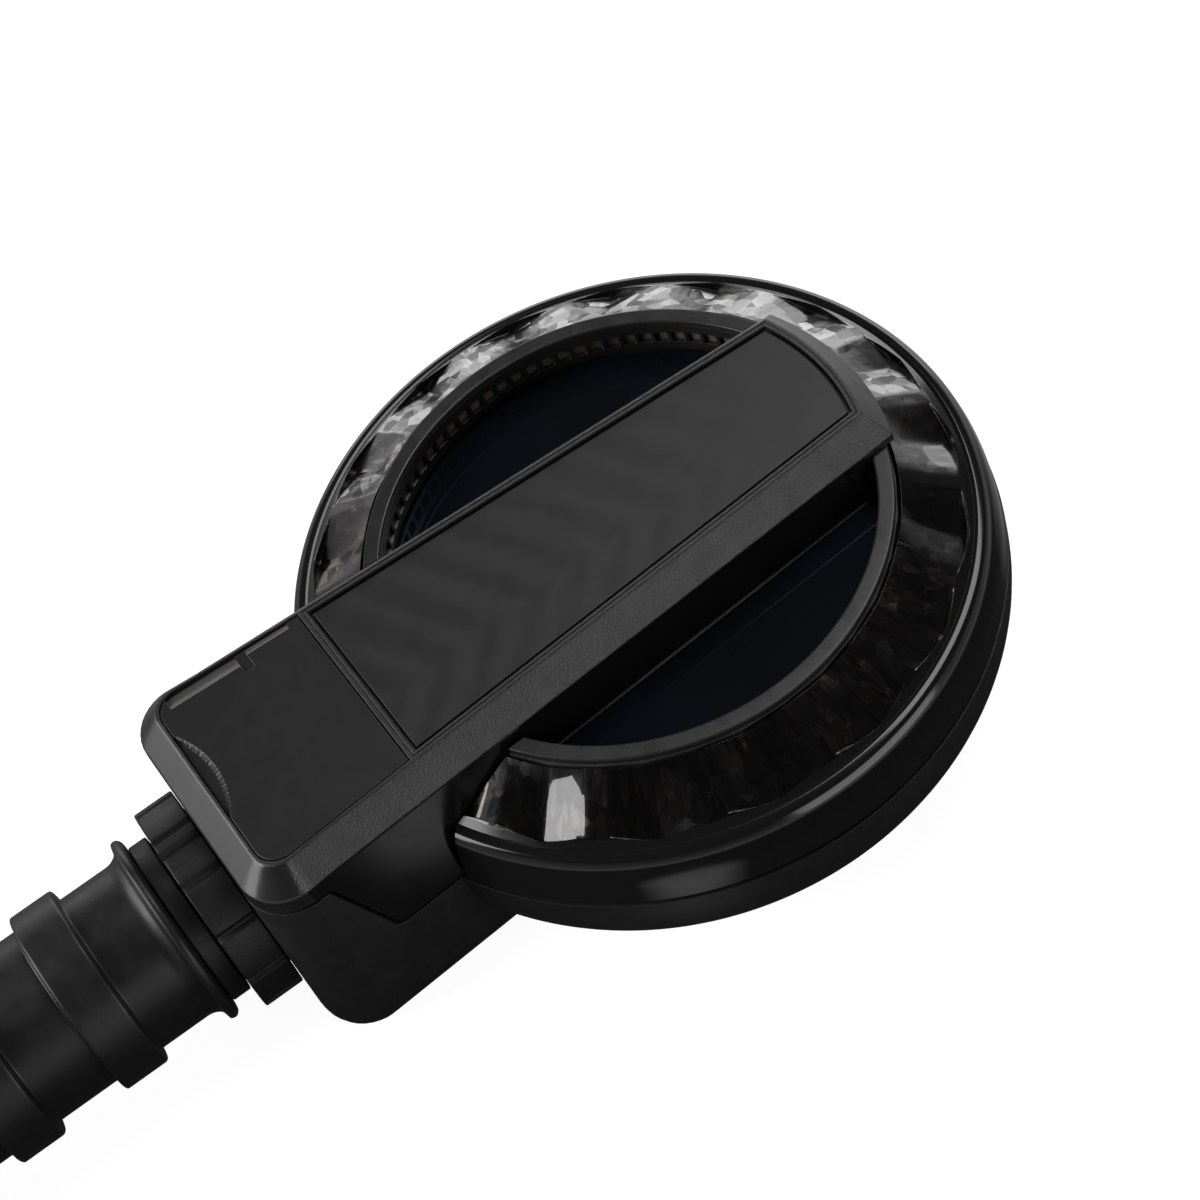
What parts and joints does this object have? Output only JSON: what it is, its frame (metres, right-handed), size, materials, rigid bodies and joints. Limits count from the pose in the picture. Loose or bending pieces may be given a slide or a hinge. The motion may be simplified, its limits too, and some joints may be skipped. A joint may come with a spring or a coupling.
{
  "type": "snorkel tube",
  "caption": "Breathing tube with raised bands, a lock collar and a round float-valve head with a scooped smoked ring, recessed window and bridge bar.",
  "frame": {"origin": "centre of the flat back of the round head", "axes": "+Z out of the head's face, tube axis along Y with its open lower end towards -Y, +X across the bridge bar"},
  "size_m": [0.103, 0.2655, 0.0409],
  "materials": {
    "matt_black_plastic": "fine satin grain",
    "satin_black_plastic": "satin",
    "gloss_black_plastic": "gloss",
    "smoked_clear_plastic": "polished, transparent",
    "prism_foil": "crumpled reflective",
    "satin_grey_plastic": "satin",
    "brown_plastic": "satin",
    "navy_window": "polished",
    "frame_plastic": "moulded",
    "seal_rubber": "soft",
    "silicone": "soft, translucent",
    "foam": "closed-cell foam",
    "steel": "turned"
  },
  "bodies": {
    "head": {"back_pan": "matt_black_plastic", "bridge_cover": "satin_black_plastic", "inset_panel": "satin_black_plastic", "service_cover": "satin_black_plastic", "ring_cover": "smoked_clear_plastic", "reflector_ring": "prism_foil", "bezel_ring": "satin_grey_plastic", "inlet_grille": "brown_plastic", "centre_window": "navy_window", "window_gasket": "seal_rubber", "inner_frame": "frame_plastic", "head_gasket": "seal_rubber", "cover_screw_1": "steel", "cover_screw_2": "steel", "cover_screw_3": "steel", "cover_screw_4": "steel", "cover_screw_5": "steel", "cover_screw_6": "steel", "drain_plug": "seal_rubber", "neck_ferrule": "gloss_black_plastic", "ferrule_gasket": "seal_rubber", "valve_seat": "frame_plastic", "seat_seal": "silicone", "seat_screw_1": "steel", "seat_screw_2": "steel", "hinge_pin": "steel"},
    "float_lever": {"float_arm": "frame_plastic", "float_block": "foam", "valve_flap": "silicone", "flap_button": "steel"},
    "collar": {"lock_collar": "matt_black_plastic"},
    "tube": {"tube_nozzle": "gloss_black_plastic", "nozzle_o_ring_1": "seal_rubber", "nozzle_o_ring_2": "seal_rubber", "retaining_ring": "steel", "spacer_washer": "matt_black_plastic", "convoluted_tube": "matt_black_plastic", "mask_coupling": "gloss_black_plastic", "coupling_o_ring": "seal_rubber"}
  },
  "joints": [
    {"name": "float_valve", "type": "hinge", "parent": "head", "child": "float_lever", "pos_m": [0, -0.0595, 0.029], "axis": [1, 0, 0], "range_deg": [-25, 0]},
    {"name": "collar_lock", "type": "hinge", "parent": "head", "child": "collar", "pos_m": [0, -0.075, 0.01775], "axis": [0, 1, 0], "range_deg": [0, 45]},
    {"name": "tube_swivel", "type": "hinge", "parent": "head", "child": "tube", "pos_m": [0, -0.08, 0.01775], "axis": [0, 1, 0], "range_deg": [-90, 90]}
  ]
}
